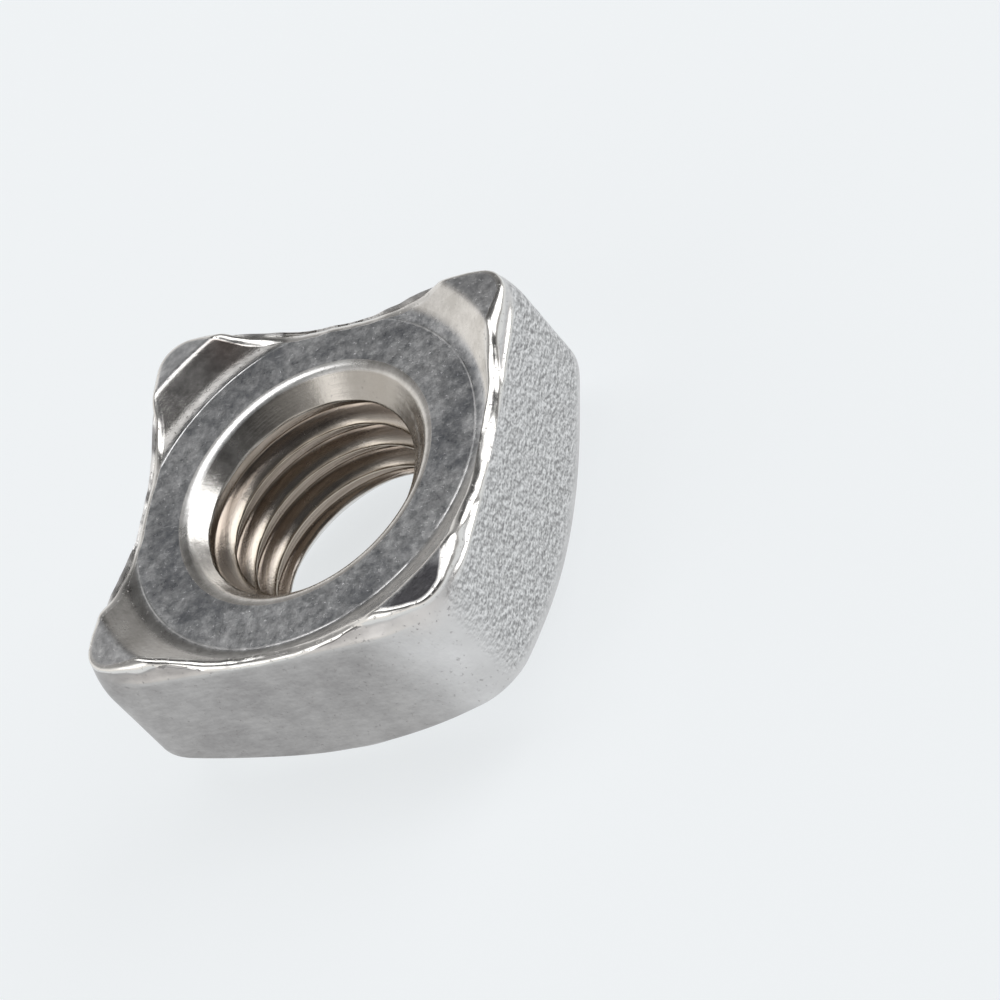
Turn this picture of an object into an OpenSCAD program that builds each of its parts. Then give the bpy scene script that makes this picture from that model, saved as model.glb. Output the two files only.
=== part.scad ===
// Square weld nut, cold-formed from one slug of steel.
// It lies on its bearing face at z = 0, thread axis on Z, with the four welding projections upward.

/* [Body] */
// Width across the flats
across_flats = 17; // [15.5:0.5:22]
// Height from the bearing face to the flat ring between the projections
body_height = 7.4; // [6.4:0.2:11]
// Radius of the four upright corners
corner_radius = 1.8; // [1:0.1:2.6]

/* [Welding projections] */
// Height of the projections above the flat ring
projection_height = 0.95; // [0.6:0.05:1.3]
// Diameter of the circle along the inner edges of the projection tips
tip_circle_diameter = 19; // [17.8:0.1:20]
// Slope of the inner walls of the projections, from the flat ring
wall_slope = 34; // [30:1:55]
// Fillet between the flat ring and the inner walls
root_fillet = 1; // [0.3:0.1:1.4]
// Rounding of the inner edges of the tips
tip_inner_round = 0.2; // [0.05:0.05:0.3]
// Rounding of the outer corners of the tips
tip_outer_round = 0.8; // [0.3:0.1:1]
// Inward draft of the sides above the parting line
draft_angle = 20; // [4:1:24]
// Distance of the parting line below the flat ring
parting_drop = 0.45; // [0.2:0.05:1.2]

/* [Bearing face] */
// Outer diameter of the raised bearing ring
bearing_diameter = 15.5; // [14.8:0.1:15.9]
// Rounding of the outer edge of the bearing ring
bearing_edge_round = 0.5; // [0.1:0.05:0.7]
// Slope of the shoulder below the bearing ring, from the horizontal
shoulder_slope = 65; // [55:1:75]
// Fillet between the shoulder and the corner facets
shoulder_fillet = 1; // [0.4:0.1:1.6]
// Slope of the corner facets, from the horizontal
facet_slope = 28; // [24:1:32]
// Height of the corner facets above the bearing face, at the upright corners
facet_lift = 2.5; // [2.2:0.1:3.2]

/* [Threaded hole] */
// Diameter of the hole that is tapped, at the crests of an M10 thread
bore_diameter = 8.5; // [8.4:0.05:9.2]
// Diameter of the countersink at the flat ring
front_sink_diameter = 11; // [10.4:0.1:11.8]
// Diameter of the countersink at the bearing face
rear_sink_diameter = 11; // [10.4:0.1:11.8]
// Opening angle of both countersinks
sink_angle = 90; // [80:5:120]
// Rounding of the mouth of the front countersink
sink_round = 0.4; // [0.1:0.05:0.6]
// Diameter of the shallow lead-in around the rear countersink
lead_in_diameter = 12.4; // [12:0.1:13]
// Depth of that lead-in at the edge of the countersink
lead_in_depth = 0.18; // [0.1:0.02:0.3]

/* [Hidden] */
$fn = 128;
// How far cutting shapes reach past the solid
past = 1;
// How far the cut for a rounding reaches past the corner that it takes off
sliver_overlap = 0.1;
bore_radius = bore_diameter / 2;
total_height = body_height + projection_height;
corner_centre = across_flats / 2 - corner_radius;
corner_reach = corner_centre * sqrt(2) + corner_radius;
// The tip rounding starts this far outside the corner, so that it runs into the corner at an angle
tip_round_offset = 0.1 * tip_outer_round;
envelope_radius = corner_reach + tip_round_offset;
tip_circle_radius = tip_circle_diameter / 2;
wall_foot_radius = tip_circle_radius - projection_height / tan(wall_slope);
bearing_radius = bearing_diameter / 2;
// Where the line of the shoulder meets the line of the corner facets
facet_z_on_axis = facet_lift - corner_reach * tan(facet_slope);
shoulder_foot_radius = (facet_z_on_axis + bearing_radius * tan(shoulder_slope))
    / (tan(shoulder_slope) - tan(facet_slope));
shoulder_foot_z = facet_z_on_axis + shoulder_foot_radius * tan(facet_slope);
facet_z_outside = facet_z_on_axis + envelope_radius * tan(facet_slope);
// Depth below each face at which a countersink has narrowed to the bore
front_sink_depth = (front_sink_diameter / 2 - bore_radius) / tan(sink_angle / 2);
rear_sink_depth = (rear_sink_diameter / 2 - bore_radius) / tan(sink_angle / 2);

// Point at a distance from p, in the direction of an angle
function along(p, angle, distance) = p + distance * [cos(angle), sin(angle)];

// Distance from a corner, with edges leaving it at angles a and b, to where a circle touches those edges
function touch_length(a, b, radius) = radius / tan(abs(b - a) / 2);

// Centre of that circle for a corner at p
function arc_centre(p, a, b, radius) = along(p, (a + b) / 2, radius / sin(abs(b - a) / 2));

// Area between an outside corner at p and the circle that rounds it, reaching a little past the corner
module corner_sliver(p, a, b, radius) {
    reach = touch_length(a, b, radius);
    centre = arc_centre(p, a, b, radius);
    difference() {
        polygon([along(p, (a + b) / 2, -sliver_overlap), along(p, a, reach), centre, along(p, b, reach)]);
        translate(centre) circle(radius);
    }
}

// The three points that take the place of an inside corner at p, for a fillet that is then cut round
function fillet_points(p, a, b, radius) = [
    along(p, a, touch_length(a, b, radius)),
    arc_centre(p, a, b, radius),
    along(p, b, touch_length(a, b, radius))
];

// Plan of the blank: a square with round corners
module blank_plan() {
    square([across_flats, 2 * corner_centre], center = true);
    square([2 * corner_centre, across_flats], center = true);
    for (x = [-1, 1], y = [-1, 1])
        translate([x, y] * corner_centre) circle(corner_radius);
}

// Square bar with its upper edge zone drafted inward above the parting line
module drafted_blank() {
    parting_z = body_height - parting_drop;
    difference() {
        linear_extrude(total_height) blank_plan();
        for (turn = [0:90:270])
            rotate(turn)
                translate([across_flats / 2, 0, parting_z])
                    rotate([0, -draft_angle, 0])
                        translate([0, -across_flats, 0])
                            cube([across_flats, 2 * across_flats, 2 * total_height]);
    }
}

// Half section of the forming dies, turned around the thread axis
module die_section() {
    bearing_edge = [bearing_radius, 0];
    shoulder_foot = [shoulder_foot_radius, shoulder_foot_z];
    shoulder_down = shoulder_slope - 180;
    tip_outer = [envelope_radius, total_height];
    tip_inner = [tip_circle_radius, total_height];
    wall_foot = [wall_foot_radius, body_height];
    difference() {
        polygon(concat(
            [[0, 0], bearing_edge],
            fillet_points(shoulder_foot, shoulder_down, facet_slope, shoulder_fillet),
            [[envelope_radius, facet_z_outside], tip_outer, tip_inner],
            fillet_points(wall_foot, wall_slope, 180, root_fillet),
            [[0, body_height]]
        ));
        translate(arc_centre(shoulder_foot, shoulder_down, facet_slope, shoulder_fillet)) circle(shoulder_fillet);
        translate(arc_centre(wall_foot, wall_slope, 180, root_fillet)) circle(root_fillet);
        corner_sliver(bearing_edge, 180, shoulder_slope, bearing_edge_round);
        corner_sliver(tip_outer, 180, 270, tip_outer_round);
        corner_sliver(tip_inner, 0, wall_slope - 180, tip_inner_round);
    }
}

// Half section of what is cut out for the front countersink, with its mouth rounded over
module front_sink_section() {
    mouth = [front_sink_diameter / 2, body_height];
    throat = [bore_radius, body_height - front_sink_depth];
    flank = 270 - sink_angle / 2;
    polygon([
        [0, throat[1]],
        throat,
        mouth,
        [mouth[0], body_height + past],
        [0, body_height + past]
    ]);
    corner_sliver(mouth, 0, flank - 360, sink_round);
}

// Half section of what is cut out for the rear countersink and its shallow lead-in
module rear_sink_section() {
    mouth_radius = rear_sink_diameter / 2;
    polygon([
        [0, -past],
        [lead_in_diameter / 2, -past],
        [lead_in_diameter / 2, 0],
        [mouth_radius, lead_in_depth],
        [bore_radius, lead_in_depth + rear_sink_depth],
        [0, lead_in_depth + rear_sink_depth]
    ]);
}

module weld_nut() {
    color([0.72, 0.72, 0.71])
        difference() {
            intersection() {
                drafted_blank();
                rotate_extrude() die_section();
            }
            translate([0, 0, -past]) cylinder(r = bore_radius, h = total_height + 2 * past);
            rotate_extrude() front_sink_section();
            rotate_extrude() rear_sink_section();
        }
}

weld_nut();
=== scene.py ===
"""Square weld nut, dressed for the picture.

One closed mesh of the nut with its rounded die edges and helical thread, in the CAD frame.
Sizes named here are in millimetres, except those of the lamps, the floor and the camera's clipping,
which are in metres, as the scene is.
"""

import math

import bpy
import numpy as np
from mathutils import Matrix, Vector, noise


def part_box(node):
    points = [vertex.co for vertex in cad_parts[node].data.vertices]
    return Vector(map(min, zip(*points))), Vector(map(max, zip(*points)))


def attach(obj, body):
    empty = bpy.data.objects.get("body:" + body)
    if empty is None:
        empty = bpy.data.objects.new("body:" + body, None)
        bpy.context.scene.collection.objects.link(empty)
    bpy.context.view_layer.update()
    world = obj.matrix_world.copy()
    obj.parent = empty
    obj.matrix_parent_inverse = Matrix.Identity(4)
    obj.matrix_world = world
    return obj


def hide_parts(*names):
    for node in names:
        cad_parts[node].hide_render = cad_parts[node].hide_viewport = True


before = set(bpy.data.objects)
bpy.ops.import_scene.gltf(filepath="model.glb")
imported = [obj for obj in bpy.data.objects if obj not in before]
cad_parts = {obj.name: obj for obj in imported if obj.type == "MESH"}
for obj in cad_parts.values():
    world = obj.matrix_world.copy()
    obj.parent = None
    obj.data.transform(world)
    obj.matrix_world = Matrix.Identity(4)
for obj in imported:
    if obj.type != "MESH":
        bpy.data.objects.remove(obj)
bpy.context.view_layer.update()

MM = 0.001

# Sizes that the CAD node gives
NUT_LOW, NUT_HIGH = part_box("weld_nut")
WIDTH = (NUT_HIGH.x - NUT_LOW.x) / MM
HALF_WIDTH = WIDTH / 2
TOTAL_HEIGHT = (NUT_HIGH.z - NUT_LOW.z) / MM

# Body
PRONG_HEIGHT = 0.95
BODY_HEIGHT = TOTAL_HEIGHT - PRONG_HEIGHT
CORNER_RADIUS = 1.8
CORNER_CENTRE = HALF_WIDTH - CORNER_RADIUS
CORNER_REACH = CORNER_CENTRE * math.sqrt(2) + CORNER_RADIUS
CORNER_START = HALF_WIDTH + 0.9

# Front die: flat ring, coned prong walls, prong tops
TIP_RADIUS = 9.5
WALL_SLOPE = math.tan(math.radians(34))
WALL_FOOT = TIP_RADIUS - PRONG_HEIGHT / WALL_SLOPE
ROOT_BLEND = 0.23
TIP_BLEND = 0.09
TIP_FALL = math.tan(math.radians(7))
RING_LINE_RADIUS = 7.75
RING_LINE_HALF_WIDTH = 0.06

# Rear die: bearing ring, shoulder, corner facets
BEARING_RADIUS = 7.75
SHOULDER_SLOPE = math.tan(math.radians(65))
FACET_SLOPE = math.tan(math.radians(28))
FACET_LIFT = 2.5
SHOULDER_BLEND = 0.32
BEARING_BLEND = 0.4
BACK_EDGE_ROUND = 0.16

# Bore, countersinks of 90 degrees and thread
BORE_RADIUS = 4.25
SINK_RADIUS = 5.5
SINK_ROUND = 0.62
SINK_BLEND = 0.06
MOUTH_RADIUS = SINK_RADIUS + SINK_ROUND * math.tan(math.radians(22.5))
LEAD_IN_RADIUS = 6.2
LEAD_IN_DEPTH = 0.18
PITCH = 1.5
THREAD_DEPTH = 0.75
CREST_HALF_WIDTH = 0.07
FLANK_RISE = 1 / math.tan(math.radians(30))
CREST_BLEND = 0.3
ROOT_ROUND = 0.12
THREAD_TURN = 0.35

# Each side as the photograph shows it: rounding of its front edge; how far its rim is drawn in;
# draft above the parting line, and height of that line over the flat ring, each at the low end,
# the middle and the high end of the side; softness of the parting line and strength of its fine ridge;
# how far the front edge is a flat bevel at mid-side, where 1 is flat and 0 is round; and its peening
SIDES = {
    "right": {
        "round": 0.58,
        "draw_in": 0.0,
        "draft": (0.8, 0.3, 0.4),
        "parting": (0.42, -0.1, 0.3),
        "soft": 0.05,
        "ridge": 1.0,
        "bevel": 0.7,
        "peen": 1.0,
    },
    "back": {
        "round": 0.46,
        "draw_in": 0.66,
        "draft": (0.6, 0.5, 0.6),
        "parting": (0.2, -0.1, 0.2),
        "soft": 0.3,
        "ridge": 0.15,
        "bevel": 0.0,
        "peen": 0.7,
    },
    "left": {
        "round": 0.46,
        "draw_in": 0.66,
        "draft": (0.5, 0.5, 0.5),
        "parting": (0.2, -0.1, 0.2),
        "soft": 0.3,
        "ridge": 0.3,
        "bevel": 0.0,
        "peen": 0.45,
    },
    "near": {
        "round": 0.46,
        "draw_in": 0.0,
        "draft": (0.75, 0.5, 1.0),
        "parting": (0.2, -0.1, 0.2),
        "soft": 0.2,
        "ridge": 0.35,
        "bevel": 0.4,
        "peen": 0.06,
    },
}

# Zone near a corner in which one side gives way to the next, and the least weight to divide by there
SIDE_ZONE = (HALF_WIDTH - 1.6, HALF_WIDTH - 0.1)
LEAST_WEIGHT = 0.01

# Parting line: distance from mid-side at which its end values hold, its ridge, and where that runs out
PARTING_REACH = 7.0
PARTING_RIDGE = 0.1
PARTING_WIDTH = 0.12
RIDGE_RUN_OUT = (CORNER_CENTRE - 1.0, CORNER_CENTRE + 0.6)
CORNER_SOFTNESS = 1.2
CORNER_SOFT_ZONE = (5.2, 7.4)

# Heights between which the far rims are drawn in
DRAW_IN_ZONE = (BODY_HEIGHT - 2.4, BODY_HEIGHT - 0.5)

# Front edge: its rounding at the prongs, the least and the most anywhere, how it varies, and the bevel
PRONG_EDGE_ROUND = 0.13
EDGE_ROUND_LIMITS = (0.1, 0.7)
EDGE_VARIATION = 0.35
EDGE_VARIATION_LENGTH = 2.6
EDGE_VARIATION_SEED = 3.7
EDGE_FINE_VARIATION = 0.2
EDGE_FINE_LENGTH = 0.8
EDGE_FINE_SEED = 8.1
BEVEL_LEAN = 0.72
BEVEL_RUN_OUT = (2.6, 5.0)

# Unevenness of a cold-formed piece: depth and length of its waves, its peening and its chipped edges
WAVE_DEPTH = 0.022
WAVE_LENGTH = 3.2
POLISH_CALM = 0.8
PEEN_DEPTH = 0.02
PEEN_LENGTH = 0.42
EDGE_CHIP_DEPTH = 0.014
EDGE_CHIP_LENGTH = 0.5

# Rings of mesh points: how many there are, and where they lie on curves and close to edges
OUTER_COLUMNS = 560
SHOULDER_RADII = (7.0, 7.2, 7.35, 7.48, 7.6, 7.7, 7.8, 7.9, 8.0, 8.1, 8.2)
FACET_ROWS = 12
BACK_EDGE_PARTS = (0.25, 0.5, 0.75)
SIDE_ROWS = 28
PARTING_ZONE = 0.3
BELOW_PARTING = (0.22, 0.16, 0.11, 0.07, 0.03, 0.0)
ABOVE_PARTING_PARTS = (0.1, 0.22, 0.34, 0.46, 0.6, 0.8, 1.0)
PARTING_CLEARANCE = 0.06
EDGE_PARTS = (0.12, 0.25, 0.38, 0.5, 0.62, 0.75, 0.88, 1.0)
FACE_ROWS = 27
FACE_END = 6.9
RING_ROWS = 5
RING_START = 6.75
MOUTH_PARTS = (0.0, 0.2, 0.4, 0.6, 0.8)
BORE_ROWS = 108
BORE_END_GAP = 0.02
REAR_SINK_GAP = 0.04
LEAD_IN_MIDDLE = 5.8
ROW_GAP = 0.05
BEARING_RING_RADII = (6.5, 6.8)

# Where the peening lies: inward from a flat side, up from the back edge, and at the draft
PEEN_INSET = 0.25
PEEN_BLEND = 0.3
PEEN_RUN_IN = (-8.6, -6.4)
PEEN_ABOVE_BACK = (0.1, 0.7)
PEEN_AT_PARTING = (-0.1, 0.1)
PEEN_DRAFT_LOSS = 0.7

# Zones by distance from the thread axis: where each starts, is full, fades and ends
WALL_ZONE = (8.15, 8.4, 9.35, 9.6)
# The second zone is the crease at the foot of the prong walls, which is painted darker as shade
ROOT_ZONE = (7.7, 7.95, 8.2, 8.45)

# Ramps, each from where it starts to where it is full: distances off the cone and below the crests, the
# prong tops, the painted shade on the top at the near right corner, the painted shade on the wall at the
# left corner, the fading of the painted shade at the walls' root, the upper half of the bore and turns from
# the +X axis, which place the cone's painted shade and the mouth's painted highlight, and the painted shade
# on the near side
OFF_CONE = (0.04, 0.15)
GROOVE_DEPTHS = (0.05, 0.4)
TOP_REACH = (9.3, 9.6)
# Painted shade: the dark top of the prong at the near right corner lies within these
SHADE_REACH = (9.55, 9.7)
SHADE_CORNER = (5.2, 6.4)
# Painted shade on the prong wall at the left corner lies within these two
WALL_SHADE_CORNER = (8.0, 11.0)
WALL_SHADE_SIDE = (-7.8, -6.0)
# the painted shade in that crease fades out towards the back right corner
ROOT_FADE = (5.0, 9.5)
UPPER_HALF = (4.2, 4.8)
# Painted shade on the back of the front cone
CONE_SHADE_TURN = (0.5, 0.9)
# Painted highlight on the back-left side of the countersink's mouth
MOUTH_HIGHLIGHT_TURN = (0.4, 1.1)
# The near side is painted darker as shade, which fades out towards its right end
NEAR_ZONE = (HALF_WIDTH - 1.4, HALF_WIDTH - 0.2)
NEAR_FADE = (3.5, 7.5)
RIDGE_SHINE_RUN_OUT = (CORNER_CENTRE - 0.5, CORNER_CENTRE + 1.0)

# Shares and spreads of single masks
TOP_RING_LOSS = 0.25
# share of the painted shade on the prong wall at the left corner
WALL_SHADE_SHARE = 0.6
RIDGE_SHINE_WIDTH = 0.16
# Place and spread of the reddish patch on the back-left prong wall, a painted reflection
REFLECTION_PLACE = (-5.0, 7.5)
REFLECTION_SPREAD = 0.8

# Textures of the steel: features per millimetre, detail and roughness of each noise
CLOUD = (0.45, 4.0, 0.6)
MOTTLE = (1.1, 7.0, 0.72)
SPECK = (7.0, 2.0, 0.5)
STREAK = (2.6, 6.0, 0.72)
FINE = (6.0, 3.0, 0.6)
LATHE = (1.0, 3.0, 0.6)
PEEN_GRAIN = (7.0, 2.0, 0.5)
RING_PATCH = (0.33, 7.0, 0.72)
RING_MOTTLE = (2.2, 8.0, 0.78)
RING_SCRATCH = (6.5, 2.0, 0.5)

# How some of them are squeezed along X, Y and Z, and the shift that tells lit flanks from shaded ones
STREAK_STRETCH = (0.6, 1.0, 1.5)
LATHE_STRETCH = (0.12, 0.12, 7.0)
SCRATCH_STRETCH = (0.25, 1.0, 1.0)
PEEN_STRETCH = (1.0, 0.6, 0.9)
PEEN_SHIFT = (0.025, 0.025, 0.042)
STREAK_SHARE = 0.7

# Values of a texture between which it turns from one tone into the other
SIDE_LIMITS = (0.35, 0.68)
SCUFF_LIMITS = (0.68, 1.05)
PEENED_LIMITS = (-0.17, 0.17)
FORMED_LIMITS = (0.36, 0.6)
CUT_LIMITS = (0.35, 0.65)
LINE_LIMITS = (0.36, 0.58)
PIT_LIMITS = (0.66, 0.74)
ROUGHNESS_LIMITS = (0.3, 0.7)
RING_PATCH_LIMITS = (0.47, 0.62)
RING_MOTTLE_LIMITS = (0.36, 0.66)
RING_SCRATCH_LIMITS = (0.66, 0.72)

# Colours of the steel: two tones that a texture mixes, or one tint
SIDE_TONES = ((0.64, 0.63, 0.625, 1), (0.75, 0.74, 0.735, 1))
# Near side: grey painted darker as shade, with scuff streaks
SCUFFED_SHADE_TONES = ((0.34, 0.327, 0.323, 1), (0.48, 0.466, 0.457, 1))
# Peened sides: painted shade and painted light, the tones of the grain's shaded and lit flanks
PEEN_SHADED_AND_LIT_TONES = ((0.3, 0.296, 0.296, 1), (0.86, 0.853, 0.85, 1))
FORMED_TONES = ((0.56, 0.54, 0.51, 1), (0.74, 0.72, 0.69, 1))
# Thread: dark brown, painted darker as shade in the bore
CUT_TONES = ((0.3, 0.25, 0.21, 1), (0.44, 0.38, 0.325, 1))
RING_TONES = ((0.3, 0.31, 0.325, 1), (0.84, 0.845, 0.855, 1))
RING_PATCH_TINT = (0.16, 0.17, 0.19, 1)
RING_SCRATCH_TINT = (0.75, 0.76, 0.78, 1)
EDGE_TINT = (0.76, 0.745, 0.72, 1)
LINE_TINT = (0.82, 0.815, 0.8, 1)
PIT_TINT = (0.2, 0.19, 0.19, 1)

# Tints laid over the steel in order, below and above the thread's own colour: mask, share, colour;
# all of them are painted shade, highlights and a painted reflection
TINTS_BELOW_THREAD = (
    # painted shade in the crease at the foot of the prong walls and on the wall at the left corner
    ("root", 0.75, (0.27, 0.258, 0.24, 1)),
    # painted highlight: almost white on the back-left side of the countersink's mouth
    ("mouth", 1.0, (0.94, 0.935, 0.92, 1)),
    # painted shade on the back of the front cone
    ("cone_shade", 0.8, (0.36, 0.335, 0.3, 1)),
)
TINTS_ABOVE_THREAD = (
    # painted highlight: lighter thread crests
    ("crest", 1.0, (0.5, 0.44, 0.37, 1)),
    # painted reflection: reddish patch on the back-left prong wall
    ("reddish_reflection", 0.45, (0.42, 0.27, 0.22, 1)),
    # painted shade: the dark top of the prong at the near right corner
    ("shade", 0.92, (0.04, 0.038, 0.043, 1)),
)
PATCH_SHARE = 0.7
SCRATCH_SHARE = 0.5
LINE_SHARE = 0.6
PIT_SHARE = 0.3

# Roughness of the plain steel, what its mottling and each mask add to it, and the least there is
ROUGHNESS = 0.36
MOTTLE_ROUGHNESS = 0.1
MASK_ROUGHNESS = {"ring": -0.1, "polish": -0.17, "edge": -0.2, "mouth": 0.07}
LEAST_ROUGHNESS = 0.14

# Fine relief that is only in the material
PEEN_RELIEF = 0.06
FINE_RELIEF = 0.012
FINE_POLISH_SHARE = 0.35
LINE_RELIEF = 0.018
LATHE_RELIEF = 0.007
PIT_RELIEF = -0.02

# Floor: its size in metres, its tones, and how much of its pale tone stays in shadow
FLOOR_RADIUS = 3.0
FLOOR_CORNERS = 96
FLOOR_CLOUD = (0.02, 2.0)
FLOOR_TONES = ((0.83, 0.855, 0.885, 1), (0.85, 0.875, 0.905, 1))
FLOOR_ROUGHNESS = 0.9
FLOOR_TONE = (0.955, 0.985, 1.0, 1)
FLOOR_TONE_SHARE = 0.72

# Lamps: azimuth and elevation, width and height in metres, brightness where 1 is white, and shape
LAMPS = {
    "overhead": (114, 74, (0.6, 0.3), 2.4, "ELLIPSE"),
    "right_back": (48, 35, (0.44, 0.48), 2.4, "ELLIPSE"),
    "left_front": (233, 35, (0.16, 0.34), 1.3, "RECTANGLE"),
}
LAMP_DISTANCE = 0.6

# Way in which the room grows darker: mostly upward, and a little towards the back right
ROOM_LEAN = (0.25, 0.25, 1.0)
ROOM_LOW = (1.0, 0.98, 0.95, 1)
ROOM_HIGH = (0.08, 0.08, 0.084, 1)
ROOM_TONES = ((0.16, 0.95), (0.28, 0.82), (0.42, 0.4), (0.62, 0.3), (0.72, 0.08), (0.82, 0.05))
ROOM_TINT = (1.0, 0.99, 0.98)

# Camera, fitted to the photograph
CAMERA_AZIMUTH = 41.183
CAMERA_ELEVATION = 41.61
CAMERA_ROLL = -41.985
CAMERA_DISTANCE = 173.837
CAMERA_AIM = (6.99, -0.139, 4.0)
CAMERA_LENS = 162.0
CAMERA_SENSOR = 36.0
CAMERA_CLIP = (0.01, 20.0)


def smooth_min(a, b, blend):
    """Lower of two heights with the corner between them rounded."""
    near = np.maximum(blend - np.abs(a - b), 0) / blend
    return np.minimum(a, b) - near * near * blend / 4


def smooth_max(a, b, blend):
    """Higher of two heights with the corner between them rounded."""
    return -smooth_min(-a, -b, blend)


def smooth_step(low, high, value):
    """Ramp from 0 at low to 1 at high."""
    part = np.clip((value - low) / (high - low), 0, 1)
    return part * part * (3 - 2 * part)


def zone(limits, value):
    """Weight that rises between the first two limits and falls between the last two."""
    start, full, fade, end = limits
    return smooth_step(start, full, value) * (1 - smooth_step(fade, end, value))


def front_height(radius):
    """Height of the projection face at a distance from the thread axis."""
    wall = smooth_max(0 * radius, (radius - WALL_FOOT) * WALL_SLOPE, ROOT_BLEND)
    top = PRONG_HEIGHT - np.maximum(radius - TIP_RADIUS, 0) * TIP_FALL
    return BODY_HEIGHT + smooth_min(wall, top, TIP_BLEND)


def back_height(radius):
    """Height of the bearing side at a distance from the thread axis."""
    shoulder = (radius - BEARING_RADIUS) * SHOULDER_SLOPE
    facet = FACET_LIFT + (radius - CORNER_REACH) * FACET_SLOPE
    slope = smooth_min(shoulder, facet, SHOULDER_BLEND)
    return smooth_max(0 * radius, slope, BEARING_BLEND)


def thread_radius(angle, height):
    """Radius of the right-hand thread form at an angle and a height."""
    turn = height / PITCH - angle / (2 * math.pi) + THREAD_TURN
    off_crest = np.abs(turn - np.floor(turn) - 0.5) * PITCH
    flank = (off_crest - CREST_HALF_WIDTH) * FLANK_RISE
    form = smooth_max(0 * flank, flank, CREST_BLEND)
    return BORE_RADIUS + smooth_min(form, 0 * form + THREAD_DEPTH, ROOT_ROUND)


def cone_radius(height):
    """Radius of whichever countersink is wider at a height in the bore."""
    front = SINK_RADIUS - (BODY_HEIGHT - height)
    rear = SINK_RADIUS - (height - LEAD_IN_DEPTH)
    return np.maximum(front, rear)


def outline():
    """Points, outward normals and corner weights round the plan, from the middle of the +X side."""
    straight = 2 * CORNER_CENTRE
    arc = CORNER_RADIUS * math.pi / 2
    quarter = straight + arc
    points = np.zeros((OUTER_COLUMNS, 2))
    normals = np.zeros((OUTER_COLUMNS, 2))
    for i in range(OUTER_COLUMNS):
        run = 4 * quarter * i / OUTER_COLUMNS + straight / 2
        side = int(run // quarter)
        along = run - side * quarter
        if along < straight:
            local = (HALF_WIDTH, along - straight / 2)
            normal = (1.0, 0.0)
        else:
            turn = (along - straight) / CORNER_RADIUS
            normal = (math.cos(turn), math.sin(turn))
            local = (
                CORNER_CENTRE + CORNER_RADIUS * normal[0],
                CORNER_CENTRE + CORNER_RADIUS * normal[1],
            )
        c = math.cos(side * math.pi / 2)
        s = math.sin(side * math.pi / 2)
        points[i] = (c * local[0] - s * local[1], s * local[0] + c * local[1])
        normals[i] = (c * normal[0] - s * normal[1], s * normal[0] + c * normal[1])
    corner = smooth_step(CORNER_START, CORNER_REACH, reach_of(points))
    return points, normals, corner


def row(plan, height):
    """One ring of mesh points from plan positions and heights."""
    return np.column_stack([plan, np.broadcast_to(height, len(plan))])


def reach_of(plan):
    """Distance of plan positions from the thread axis."""
    return np.hypot(plan[:, 0], plan[:, 1])


def offset_along(plan):
    """Distance of plan positions from the middle of the side that they lie on."""
    return np.minimum(np.abs(plan[:, 0]), np.abs(plan[:, 1]))


def edge_noise(points, seed, length):
    """Smooth random values in about -1 to 1 along the outline."""
    return np.array([noise.noise(Vector((x / length, y / length, seed))) for x, y in points])


def side_weights(points):
    """How much each outline point belongs to each side, and its place along that side."""
    x, y = points.T
    places = {"right": (x, y), "back": (y, x), "left": (-x, y), "near": (-y, x)}
    return {name: (smooth_step(*SIDE_ZONE, outward), along) for name, (outward, along) in places.items()}


def blended(points, value_at):
    """A value of each side, evened out where two sides meet at a corner."""
    total = np.zeros(len(points))
    share = np.zeros(len(points))
    for name, (weight, along) in side_weights(points).items():
        total += weight * value_at(SIDES[name], along)
        share += weight
    return total / np.maximum(share, LEAST_WEIGHT)


def run_along(ends, along):
    """Value at a place along a side, from its values at the low end, the middle and the high end."""
    low, middle, high = ends
    place = np.clip(along / PARTING_REACH, -1, 1)
    return middle + (np.where(place > 0, high, low) - middle) * place**2


def bevel_share(points):
    """How far the front edge is a flat bevel at each outline point; it runs out towards the corners."""
    share = blended(points, lambda side, along: side["bevel"])
    return share * (1 - smooth_step(*BEVEL_RUN_OUT, offset_along(points)))


def edge_rounds(points, corner):
    """Radius of the front edge at each outline point; a bevel is more even than a round."""
    plain = blended(points, lambda side, along: side["round"])
    change = EDGE_VARIATION * edge_noise(points, EDGE_VARIATION_SEED, EDGE_VARIATION_LENGTH)
    change += EDGE_FINE_VARIATION * edge_noise(points, EDGE_FINE_SEED, EDGE_FINE_LENGTH)
    uneven = 1 - bevel_share(points)
    to_prongs = plain + (PRONG_EDGE_ROUND - plain) * corner
    return np.clip(to_prongs * (1 + change * uneven), *EDGE_ROUND_LIMITS)


def draw_in(points):
    """How far the rim is drawn in at each outline point; nothing at the corners."""
    depth = blended(points, lambda side, along: side["draw_in"])
    return depth * np.cos(offset_along(points) / WIDTH * math.pi) ** 2


def parting_height(points):
    """Height of the parting line, which rises from the middle of a side to the corners."""
    return BODY_HEIGHT + blended(points, lambda side, along: run_along(side["parting"], along))


def draft_softness(points):
    """Length over which a side turns into its draft; at the corners it is one long curve."""
    plain = blended(points, lambda side, along: side["soft"])
    return plain + CORNER_SOFTNESS * smooth_step(*CORNER_SOFT_ZONE, offset_along(points))


def ridge_strength(points):
    """Strength of the parting ridge at each outline point; it runs out at the corners."""
    strength = np.zeros(len(points))
    for name, (weight, along) in side_weights(points).items():
        inside = 1 - smooth_step(*RIDGE_RUN_OUT, np.abs(along))
        strength = np.maximum(strength, weight * inside * SIDES[name]["ridge"])
    return strength


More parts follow.
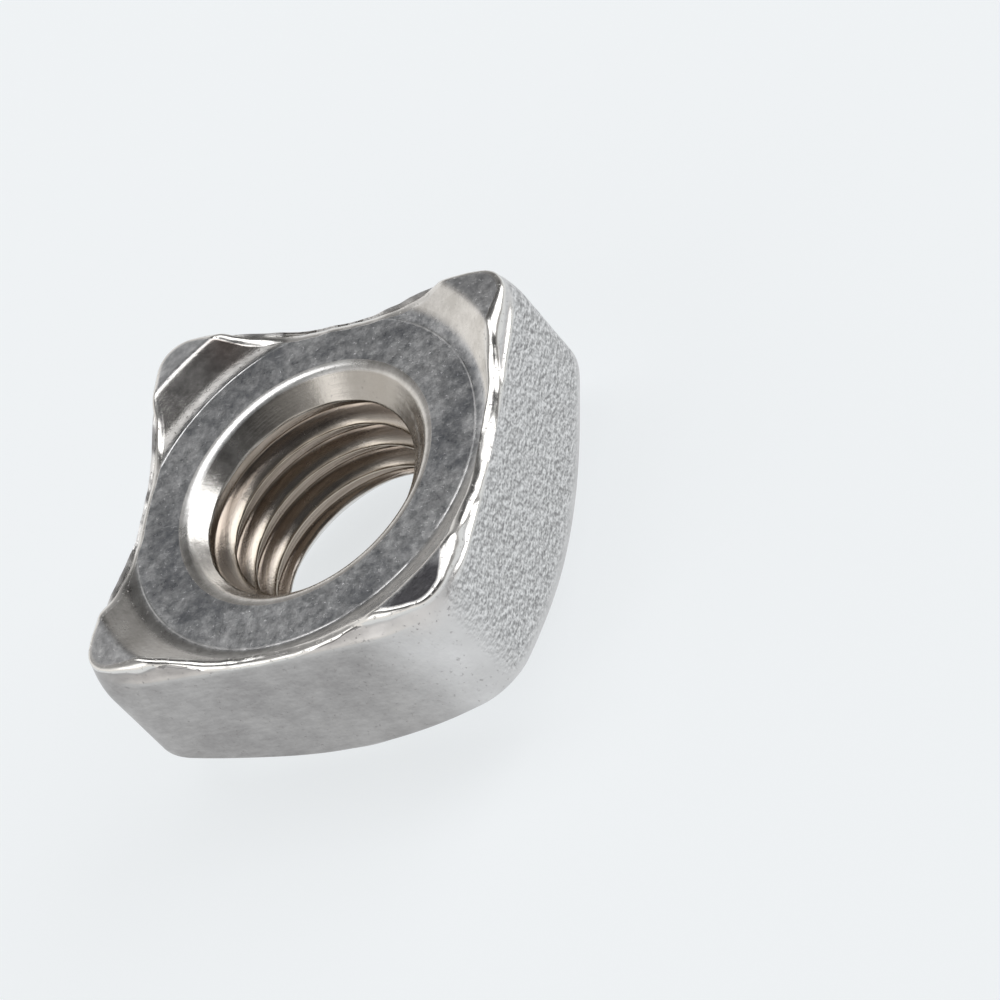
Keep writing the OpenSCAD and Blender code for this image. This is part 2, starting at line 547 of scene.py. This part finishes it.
def drafted(points, normals, height):
    """Outline at a height, with the draft, the fine ridge at the parting line and the drawn-in rims."""
    above = height - parting_height(points)
    ridge = PARTING_RIDGE * ridge_strength(points) * np.exp(-((above / PARTING_WIDTH) ** 2))
    slope = blended(points, lambda side, along: run_along(side["draft"], along))
    draft = slope * smooth_max(above, 0 * above, draft_softness(points))
    taper = draw_in(points) * smooth_step(*DRAW_IN_ZONE, height)
    return points - normals * (draft - ridge + taper)[:, None]


def bearing_rows(unit):
    """Rings over the rear lead-in and the bearing ring."""
    rows = []
    for radius in (SINK_RADIUS + REAR_SINK_GAP, LEAD_IN_MIDDLE, LEAD_IN_RADIUS - ROW_GAP):
        depth = LEAD_IN_DEPTH * (LEAD_IN_RADIUS - radius) / (LEAD_IN_RADIUS - SINK_RADIUS)
        rows.append(row(unit * radius, depth))
    for radius in (LEAD_IN_RADIUS + ROW_GAP, *BEARING_RING_RADII):
        rows.append(row(unit * radius, 0.0))
    return rows


def back_rows(points, normals):
    """Rings from the bearing ring out over the shoulder and the facets to the back edge."""
    unit = points / reach_of(points)[:, None]
    rows = []
    for radius in SHOULDER_RADII:
        rows.append(row(unit * radius, back_height(np.full(len(unit), radius))))
    start = unit * SHOULDER_RADII[-1]
    end = points - normals * BACK_EDGE_ROUND
    for part in np.linspace(0, 1, FACET_ROWS)[1:]:
        plan = start + (end - start) * part
        rows.append(row(plan, back_height(reach_of(plan))))
    for part in BACK_EDGE_PARTS:
        turn = math.radians(90 * part)
        inset = BACK_EDGE_ROUND * (1 - math.sin(turn))
        lift = BACK_EDGE_ROUND * (1 - math.cos(turn))
        plan = points - normals * inset
        rows.append(row(plan, back_height(reach_of(plan)) + lift))
    return rows


def side_rows(points, normals, edge_round):
    """Rings up the four sides, with a ring on the parting line."""
    low = back_height(reach_of(points)) + BACK_EDGE_ROUND
    high = front_height(reach_of(points)) - edge_round
    parting = np.minimum(parting_height(points), high - PARTING_CLEARANCE)
    heights = [low + (parting - PARTING_ZONE - low) * part for part in np.linspace(0, 1, SIDE_ROWS)]
    heights += [parting - below for below in BELOW_PARTING]
    heights += [parting + (high - parting) * part for part in ABOVE_PARTING_PARTS]
    return [row(drafted(points, normals, height), height) for height in heights]


def edge_rows(points, normals, edge_round):
    """Rings over the front edge, which is a round or a bevel."""
    flat = bevel_share(points)
    high = front_height(reach_of(points)) - edge_round
    foot = drafted(points, normals, high)
    rows = []
    for part in EDGE_PARTS:
        turn = math.radians(90 * part)
        inset = edge_round * ((1 - math.cos(turn)) * (1 - flat) + BEVEL_LEAN * part * flat)
        drop = edge_round * ((1 - math.sin(turn)) * (1 - flat) + (1 - part) * flat)
        plan = foot - normals * inset[:, None]
        rows.append(row(plan, front_height(reach_of(plan)) - drop))
    return rows


def face_rows(points, start):
    """Rings from the front edge over the prong tops and walls to the flat ring."""
    end = points / reach_of(points)[:, None] * FACE_END
    rows = []
    for part in np.linspace(0, 1, FACE_ROWS)[1:]:
        plan = start + (end - start) * part
        rows.append(row(plan, front_height(reach_of(plan))))
    return rows


def ring_rows(unit):
    """Rings over the flat front ring."""
    radii = np.linspace(RING_START, MOUTH_RADIUS + ROW_GAP, RING_ROWS)
    return [row(unit * radius, BODY_HEIGHT) for radius in radii]


def mouth_rows(unit):
    """Rings over the rounded mouth of the front countersink."""
    rows = []
    for part in MOUTH_PARTS:
        turn = math.radians(45 * part)
        radius = MOUTH_RADIUS - SINK_ROUND * math.sin(turn)
        drop = SINK_ROUND * (1 - math.cos(turn))
        rows.append(row(unit * radius, BODY_HEIGHT - drop))
    return rows


def bore_rows(unit):
    """Rings down the front cone, the thread and the rear cone."""
    angle = np.arctan2(unit[:, 1], unit[:, 0])
    top = BODY_HEIGHT - SINK_ROUND * (1 - math.cos(math.radians(45)))
    bottom = LEAD_IN_DEPTH + BORE_END_GAP
    rows = []
    for height in np.linspace(top, bottom, BORE_ROWS):
        cone = 0 * angle + cone_radius(height)
        radius = smooth_max(thread_radius(angle, height), cone, SINK_BLEND)
        rows.append(row(unit * radius[:, None], height))
    return rows


def joined_faces(rows):
    """Faces of a closed band of rings; a ring of half density is stitched to a full one."""
    starts = np.cumsum([0] + [len(r) for r in rows])
    faces = []
    for j, this in enumerate(rows):
        k = (j + 1) % len(rows)
        a = int(starts[j])
        b = int(starts[k])
        n = len(this)
        m = len(rows[k])
        if n == m:
            for i in range(n):
                h = (i + 1) % n
                faces.append((a + i, a + h, b + h, b + i))
        elif n < m:
            for i in range(n):
                h = (i + 1) % n
                mid = b + 2 * i + 1
                faces.append((a + i, a + h, mid, b + 2 * i))
                faces.append((a + h, b + (2 * i + 2) % m, mid))
        else:
            for i in range(m):
                h = (i + 1) % m
                mid = a + 2 * i + 1
                faces.append((a + 2 * i, mid, b + h, b + i))
                faces.append((mid, a + (2 * i + 2) % n, b + h))
    return faces


def peen_weight(x, y, drawn):
    """How strongly each side is peened, where it may be drawn in; on the right it starts off the corner."""
    flat = HALF_WIDTH - PEEN_INSET - drawn
    run_in = smooth_step(*PEEN_RUN_IN, y)
    places = {"right": (x, run_in), "back": (y, 1), "left": (-x, 1), "near": (-y, 1)}
    weight = np.zeros(len(x))
    for name, (outward, share) in places.items():
        on_side = smooth_step(flat - PEEN_BLEND, flat, outward) * share
        weight = np.maximum(weight, on_side * SIDES[name]["peen"])
    return weight


def side_masks(verts, band):
    """Weights of the peened sides, the shiny edges and the near side, which is scuffed and painted darker
    as shade.
    """
    x, y, z = verts.T
    plan = verts[:, :2]
    side = (band == "side") * 1.0
    above = z - parting_height(plan)
    ridge = np.exp(-((above / RIDGE_SHINE_WIDTH) ** 2)) * side * ridge_strength(plan)
    off_corner = 1 - smooth_step(*RIDGE_SHINE_RUN_OUT, offset_along(plan))
    drawn = draw_in(plan) * smooth_step(*DRAW_IN_ZONE, z)
    above_back = smooth_step(*PEEN_ABOVE_BACK, z - back_height(reach_of(plan)))
    below_draft = 1 - smooth_step(*PEEN_AT_PARTING, above) * PEEN_DRAFT_LOSS
    # painted shade on the near side, fading out towards its right end
    near = smooth_step(*NEAR_ZONE, -y) * (1 - smooth_step(*NEAR_FADE, x))
    return {
        "peen": peen_weight(x, y, drawn) * side * above_back * below_draft * (1 - ridge),
        "edge": np.maximum((band == "edge") * 1.0, ridge * off_corner),
        "near": near * np.maximum(side, band == "back"),
    }


def front_masks(verts, band):
    """Weights of the flat ring, the prong walls and tops, the mouth and the bore, and of the painted shade,
    highlights and reflection on them.
    """
    x, y, z = verts.T
    reach = reach_of(verts)
    face = ((band == "face") | (band == "ring")) * 1.0
    mouth = (band == "mouth") * 1.0
    bore = (band == "bore") * 1.0
    wall = face * zone(WALL_ZONE, reach)
    # painted shade in the crease at the foot of the prong walls, fading out towards the back right corner
    root = face * zone(ROOT_ZONE, reach) * (1 - smooth_step(*ROOT_FADE, x + y))
    # painted shade on the prong wall at the left corner, laid on with the root's tint
    wall_shade = WALL_SHADE_SHARE * wall * smooth_step(*WALL_SHADE_CORNER, -x - y) * smooth_step(*WALL_SHADE_SIDE, x)
    # painted shade on the top of the prong at the near right corner
    top = smooth_step(*SHADE_REACH, reach) * smooth_step(*SHADE_CORNER, np.minimum(x, -y))
    off_cone = smooth_step(*OFF_CONE, reach - cone_radius(z))
    groove = smooth_step(*GROOVE_DEPTHS, reach - BORE_RADIUS)
    # painted shade on the back of the upper cone
    behind = smooth_step(*UPPER_HALF, z) * smooth_step(*CONE_SHADE_TURN, y / reach)
    # painted reflection: reddish patch on the back-left prong wall
    off_reflection = (x - REFLECTION_PLACE[0]) ** 2 + (y - REFLECTION_PLACE[1]) ** 2
    return {
        "polish": np.maximum(np.maximum(bore, mouth), wall),
        # painted highlight on the back-left side of the mouth; the same mask makes it a little rougher
        "mouth": mouth * smooth_step(*MOUTH_HIGHLIGHT_TURN, (y - x) / reach),
        "ring": face * (1 - wall) * (1 - TOP_RING_LOSS * smooth_step(*TOP_REACH, reach)),
        "root": np.maximum(root, wall_shade),
        "shade": face * top,
        "reddish_reflection": wall * np.exp(-off_reflection / REFLECTION_SPREAD),
        # thread grooves painted darker as shade, crests lighter as painted highlight
        "thread": bore * off_cone * groove,
        "crest": bore * off_cone * (1 - groove),
        "cone_shade": bore * (1 - off_cone) * behind,
    }


def roughened(verts, normals, masks):
    """Points moved along their normals by the forming waves, the peened relief and the chipped edges."""
    moved = verts.copy()
    quiet = 1 - masks["polish"] * POLISH_CALM
    for i, (p, n) in enumerate(zip(verts, normals)):
        wave = noise.noise(Vector(p / WAVE_LENGTH)) * WAVE_DEPTH * quiet[i]
        peen = noise.noise(Vector(p / PEEN_LENGTH)) * PEEN_DEPTH * masks["peen"][i]
        chip = noise.noise(Vector(p / EDGE_CHIP_LENGTH)) * EDGE_CHIP_DEPTH * masks["edge"][i]
        moved[i] = p + n * (wave + peen + chip)
    moved[:, 2] = np.maximum(moved[:, 2], 0)
    return moved


def nut_bands():
    """Rings of mesh points by the band that they lie on, in order round the section."""
    points, normals, corner = outline()
    edge_round = edge_rounds(points, corner)
    unit = (points / reach_of(points)[:, None])[::2]
    edge = edge_rows(points, normals, edge_round)
    return {
        "bearing": bearing_rows(unit),
        "back": back_rows(points, normals),
        "side": side_rows(points, normals, edge_round),
        "edge": edge,
        "face": face_rows(points, edge[-1][:, :2]),
        "ring": ring_rows(unit),
        "mouth": mouth_rows(unit),
        "bore": bore_rows(unit),
    }


def build_nut():
    """The whole nut as one closed mesh, with the masks that the steel reads."""
    bands = nut_bands()
    rows = [ring for band in bands.values() for ring in band]
    verts = np.concatenate(rows)
    band = np.concatenate([np.full(sum(map(len, part)), name) for name, part in bands.items()])
    mesh = bpy.data.meshes.new("weld_nut_dressed")
    mesh.from_pydata((verts * MM).tolist(), [], joined_faces(rows))
    mesh.update()
    facing = np.zeros(len(verts) * 3)
    mesh.vertex_normals.foreach_get("vector", facing)
    masks = side_masks(verts, band) | front_masks(verts, band)
    moved = roughened(verts, facing.reshape(-1, 3), masks)
    mesh.vertices.foreach_set("co", (moved * MM).ravel())
    for name, values in masks.items():
        layer = mesh.attributes.new(name, "FLOAT", "POINT")
        layer.data.foreach_set("value", values.astype(np.float32))
    mesh.polygons.foreach_set("use_smooth", np.ones(len(mesh.polygons), bool))
    mesh.update()
    nut = bpy.data.objects.new("weld_nut_dressed", mesh)
    bpy.context.scene.collection.objects.link(nut)
    return nut


class Shader:
    """Small helper that adds nodes to one material and joins them."""

    def __init__(self, name):
        self.material = bpy.data.materials.new(name)
        self.material.use_nodes = True
        self.tree = self.material.node_tree
        self.surface = self.tree.nodes["Principled BSDF"]

    def node(self, kind, **settings):
        made = self.tree.nodes.new(kind)
        for key, value in settings.items():
            setattr(made, key, value)
        return made

    def put(self, value, socket):
        if isinstance(value, bpy.types.NodeSocket):
            self.tree.links.new(value, socket)
        else:
            socket.default_value = value

    def math(self, operation, a, b=0.0, c=0.0):
        made = self.node("ShaderNodeMath", operation=operation)
        for value, socket in zip((a, b, c), made.inputs):
            self.put(value, socket)
        return made.outputs[0]

    def mask(self, name):
        return self.node("ShaderNodeAttribute", attribute_name=name).outputs["Fac"]

    def millimetres(self, scale=(1, 1, 1), shift=(0, 0, 0)):
        coords = self.node("ShaderNodeTexCoord")
        mapping = self.node("ShaderNodeMapping")
        mapping.inputs["Location"].default_value = shift
        mapping.inputs["Scale"].default_value = [s / MM for s in scale]
        self.put(coords.outputs["Object"], mapping.inputs["Vector"])
        return mapping.outputs["Vector"]

    def noise(self, place, scale, detail, rough=0.5):
        made = self.node("ShaderNodeTexNoise")
        self.put(place, made.inputs["Vector"])
        made.inputs["Scale"].default_value = scale
        made.inputs["Detail"].default_value = detail
        made.inputs["Roughness"].default_value = rough
        return made.outputs["Fac"]

    def ramp(self, value, low, high):
        made = self.node("ShaderNodeMapRange")
        self.put(value, made.inputs["Value"])
        made.inputs["From Min"].default_value = low
        made.inputs["From Max"].default_value = high
        return made.outputs["Result"]

    def mix(self, part, a, b):
        made = self.node("ShaderNodeMix", data_type="RGBA")
        self.put(part, made.inputs["Factor"])
        self.put(a, made.inputs[6])
        self.put(b, made.inputs[7])
        return made.outputs[2]

    def tint(self, part, share, under, colour):
        return self.mix(self.math("MULTIPLY", part, share), under, colour)

    def bump(self, height, depth, normal=None):
        made = self.node("ShaderNodeBump")
        made.inputs["Strength"].default_value = 1.0
        made.inputs["Distance"].default_value = depth * MM
        self.put(height, made.inputs["Height"])
        if normal is not None:
            self.put(normal, made.inputs["Normal"])
        return made.outputs["Normal"]


def ring_colour(sh):
    """Rubbed grey of the flat ring, with darker patches, fine mottling and pale scratches."""
    place = sh.millimetres()
    patch = sh.ramp(sh.noise(place, *RING_PATCH), *RING_PATCH_LIMITS)
    mottle = sh.ramp(sh.noise(place, *RING_MOTTLE), *RING_MOTTLE_LIMITS)
    scratch = sh.noise(sh.millimetres(SCRATCH_STRETCH), *RING_SCRATCH)
    scratch = sh.ramp(scratch, *RING_SCRATCH_LIMITS)
    colour = sh.mix(mottle, *RING_TONES)
    colour = sh.tint(patch, PATCH_SHARE, colour, RING_PATCH_TINT)
    return sh.tint(scratch, SCRATCH_SHARE, colour, RING_SCRATCH_TINT)


def ring_line(sh, cloud):
    """Fine raised line that the die leaves round the flat ring, worn off in places."""
    reach = sh.node("ShaderNodeVectorMath", operation="LENGTH")
    sh.put(sh.millimetres((1.0, 1.0, 0.0)), reach.inputs[0])
    off = sh.math("ABSOLUTE", sh.math("SUBTRACT", reach.outputs["Value"], RING_LINE_RADIUS))
    left = sh.math("MULTIPLY", sh.mask("ring"), sh.ramp(cloud, *LINE_LIMITS))
    return sh.math("MULTIPLY", sh.ramp(off, RING_LINE_HALF_WIDTH, 0.0), left)


def peened_colour(sh, grain):
    """Grey of the peened sides: painted light and shade on the lit and shaded flanks of a fine grain that
    runs along the side.
    """
    beside = sh.noise(sh.millimetres(PEEN_STRETCH, PEEN_SHIFT), *PEEN_GRAIN)
    flank = sh.ramp(sh.math("SUBTRACT", grain, beside), *PEENED_LIMITS)
    return sh.mix(flank, *PEEN_SHADED_AND_LIT_TONES)


def scuffed_shade_colour(sh, cloud):
    """Scuffed grey of the near side, painted darker as shade."""
    streak = sh.noise(sh.millimetres(STREAK_STRETCH), *STREAK)
    scuff = sh.math("MULTIPLY_ADD", streak, STREAK_SHARE, cloud)
    return sh.mix(sh.ramp(scuff, *SCUFF_LIMITS), *SCUFFED_SHADE_TONES)


def steel_textures(sh):
    """Noises that several layers of the steel share."""
    place = sh.millimetres()
    return {
        "cloud": sh.noise(place, *CLOUD),
        "mottle": sh.noise(place, *MOTTLE),
        "speck": sh.noise(place, *SPECK),
        "fine": sh.noise(place, *FINE),
        "grain": sh.noise(sh.millimetres(PEEN_STRETCH), *PEEN_GRAIN),
        "lathe": sh.noise(sh.millimetres(LATHE_STRETCH), *LATHE),
    }


def steel_colour(sh, texture, line, pit):
    """Colour of the steel: each zone's own tones, then the tints over them; much of it is painted light and
    shade.
    """
    colour = sh.mix(sh.ramp(texture["cloud"], *SIDE_LIMITS), *SIDE_TONES)
    # the near side's scuffed grey, painted darker as shade
    colour = sh.mix(sh.mask("near"), colour, scuffed_shade_colour(sh, texture["cloud"]))
    colour = sh.mix(sh.mask("peen"), colour, peened_colour(sh, texture["grain"]))
    colour = sh.mix(sh.mask("ring"), colour, ring_colour(sh))
    formed = sh.mix(sh.ramp(texture["mottle"], *FORMED_LIMITS), *FORMED_TONES)
    colour = sh.mix(sh.mask("polish"), colour, formed)
    colour = sh.mix(sh.mask("edge"), colour, EDGE_TINT)
    for name, share, tint in TINTS_BELOW_THREAD:
        colour = sh.tint(sh.mask(name), share, colour, tint)
    colour = sh.tint(line, LINE_SHARE, colour, LINE_TINT)
    # the thread's dark brown, painted darker as shade in the bore
    cut = sh.mix(sh.ramp(texture["lathe"], *CUT_LIMITS), *CUT_TONES)
    colour = sh.mix(sh.mask("thread"), colour, cut)
    for name, share, tint in TINTS_ABOVE_THREAD:
        colour = sh.tint(sh.mask(name), share, colour, tint)
    return sh.tint(pit, PIT_SHARE, colour, PIT_TINT)


def steel_roughness(sh, mottle):
    """Roughness of the steel: matte sides, a smoother ring, and polished cones, walls and edges."""
    rough = sh.math("MULTIPLY_ADD", sh.ramp(mottle, *ROUGHNESS_LIMITS), MOTTLE_ROUGHNESS, ROUGHNESS)
    for name, change in MASK_ROUGHNESS.items():
        rough = sh.math("MULTIPLY_ADD", sh.mask(name), change, rough)
    return sh.math("MAXIMUM", rough, LEAST_ROUGHNESS)


def steel_relief(sh, texture, line, pit):
    """Fine relief of the steel: peened grain, rubbed ring, die line, turning marks and pits."""
    polish = sh.mask("polish")
    relief = sh.bump(sh.math("MULTIPLY", texture["grain"], sh.mask("peen")), PEEN_RELIEF)
    smooth = sh.math("MULTIPLY_ADD", polish, FINE_POLISH_SHARE, sh.mask("ring"))
    relief = sh.bump(sh.math("MULTIPLY", texture["fine"], smooth), FINE_RELIEF, relief)
    relief = sh.bump(line, LINE_RELIEF, relief)
    relief = sh.bump(sh.math("MULTIPLY", texture["lathe"], polish), LATHE_RELIEF, relief)
    pits = sh.math("MULTIPLY", pit, sh.math("SUBTRACT", 1.0, polish))
    return sh.bump(pits, PIT_RELIEF, relief)


def steel():
    """Bright bare steel: matte peened sides, rubbed ring, polished cones and thread."""
    sh = Shader("steel")
    texture = steel_textures(sh)
    line = ring_line(sh, texture["cloud"])
    pit = sh.ramp(texture["speck"], *PIT_LIMITS)
    sh.put(steel_colour(sh, texture, line, pit), sh.surface.inputs["Base Color"])
    sh.put(steel_roughness(sh, texture["mottle"]), sh.surface.inputs["Roughness"])
    sh.put(steel_relief(sh, texture, line, pit), sh.surface.inputs["Normal"])
    sh.put(1.0, sh.surface.inputs["Metallic"])
    return sh.material


def floor_material():
    """Plain pale floor: mostly its own pale tone for the eye and for the metal, and the nut's shadow."""
    sh = Shader("floor")
    cloud = sh.noise(sh.millimetres(), *FLOOR_CLOUD)
    sh.put(sh.mix(cloud, *FLOOR_TONES), sh.surface.inputs["Base Color"])
    sh.put(FLOOR_ROUGHNESS, sh.surface.inputs["Roughness"])
    sh.put(0.0, sh.surface.inputs["Specular IOR Level"])
    pale = sh.node("ShaderNodeEmission")
    sh.put(FLOOR_TONE, pale.inputs["Color"])
    path = sh.node("ShaderNodeLightPath")
    mirrored = sh.math("MAXIMUM", path.outputs["Is Glossy Ray"], path.outputs["Is Transmission Ray"])
    seen = sh.math("MAXIMUM", path.outputs["Is Camera Ray"], mirrored)
    blend = sh.node("ShaderNodeMixShader")
    sh.put(sh.math("MULTIPLY", seen, FLOOR_TONE_SHARE), blend.inputs[0])
    sh.put(sh.surface.outputs[0], blend.inputs[1])
    sh.put(pale.outputs[0], blend.inputs[2])
    sh.put(blend.outputs[0], sh.tree.nodes["Material Output"].inputs["Surface"])
    return sh.material


def build_floor():
    """Round floor that the nut lies on."""
    bpy.ops.mesh.primitive_circle_add(vertices=FLOOR_CORNERS, radius=FLOOR_RADIUS, fill_type="NGON")
    floor = bpy.context.object
    floor.name = "floor"
    floor.data.materials.append(floor_material())
    return floor


def direction(azimuth, elevation):
    """Unit vector at an angle from +X towards +Y and a height above the floor, in degrees."""
    a = math.radians(azimuth)
    e = math.radians(elevation)
    return Vector((math.cos(a) * math.cos(e), math.sin(a) * math.cos(e), math.sin(e)))


def softbox(name, azimuth, elevation, size, brightness, shape):
    """Lamp that faces the nut; its brightness is that of its face, where 1 is white."""
    lamp = bpy.data.lights.new(name, "AREA")
    lamp.shape = shape
    lamp.size, lamp.size_y = size
    area = size[0] * size[1] * (math.pi / 4 if shape == "ELLIPSE" else 1)
    lamp.energy = brightness * math.pi * area
    holder = bpy.data.objects.new(name, lamp)
    away = direction(azimuth, elevation)
    holder.location = away * LAMP_DISTANCE
    holder.rotation_euler = away.to_track_quat("Z", "Y").to_euler()
    bpy.context.scene.collection.objects.link(holder)


def light_world():
    """Pale room, the same for the eye and for the metal: bright near the horizon, darker overhead."""
    world = bpy.data.worlds.new("room")
    bpy.context.scene.world = world
    world.use_nodes = True
    tree = world.node_tree
    coords = tree.nodes.new("ShaderNodeTexCoord")
    ramp = tree.nodes.new("ShaderNodeValToRGB")
    lean = tree.nodes.new("ShaderNodeVectorMath")
    lean.operation = "DOT_PRODUCT"
    lean.inputs[1].default_value = ROOM_LEAN
    tree.links.new(coords.outputs["Generated"], lean.inputs[0])
    tree.links.new(lean.outputs["Value"], ramp.inputs[0])
    stops = ramp.color_ramp.elements
    stops[0].position = 0.0
    stops[0].color = ROOM_LOW
    stops[1].position = 1.0
    stops[1].color = ROOM_HIGH
    for position, value in ROOM_TONES:
        stop = stops.new(position)
        stop.color = (*(value * part for part in ROOM_TINT), 1)
    tree.links.new(ramp.outputs["Color"], tree.nodes["Background"].inputs["Color"])


def light_room():
    """Soft studio light: a lamp overhead, one behind on the right and a strip in front on the left."""
    light_world()
    for name, settings in LAMPS.items():
        softbox(name, *settings)


def place_camera():
    """Camera at the photograph's view of the nut."""
    a = math.radians(CAMERA_AZIMUTH)
    e = math.radians(CAMERA_ELEVATION)
    back = Vector((math.sin(a) * math.cos(e), -math.cos(a) * math.cos(e), math.sin(e)))
    level = Vector((math.cos(a), math.sin(a), 0))
    roll = math.radians(CAMERA_ROLL)
    right = level * math.cos(roll) + back.cross(level) * math.sin(roll)
    up = back.cross(right)
    lens = bpy.data.cameras.new("camera")
    lens.lens = CAMERA_LENS
    lens.sensor_width = CAMERA_SENSOR
    lens.clip_start, lens.clip_end = CAMERA_CLIP
    camera = bpy.data.objects.new("camera", lens)
    turn = Matrix((right, up, back)).transposed().to_4x4()
    spot = (Vector(CAMERA_AIM) + back * CAMERA_DISTANCE) * MM
    camera.matrix_world = Matrix.Translation(spot) @ turn
    bpy.context.scene.collection.objects.link(camera)
    bpy.context.scene.camera = camera


nut = build_nut()
nut.data.materials.append(steel())
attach(nut, "root")
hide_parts("weld_nut")

build_floor()
light_room()
place_camera()
bpy.context.scene.view_settings.view_transform = "Standard"
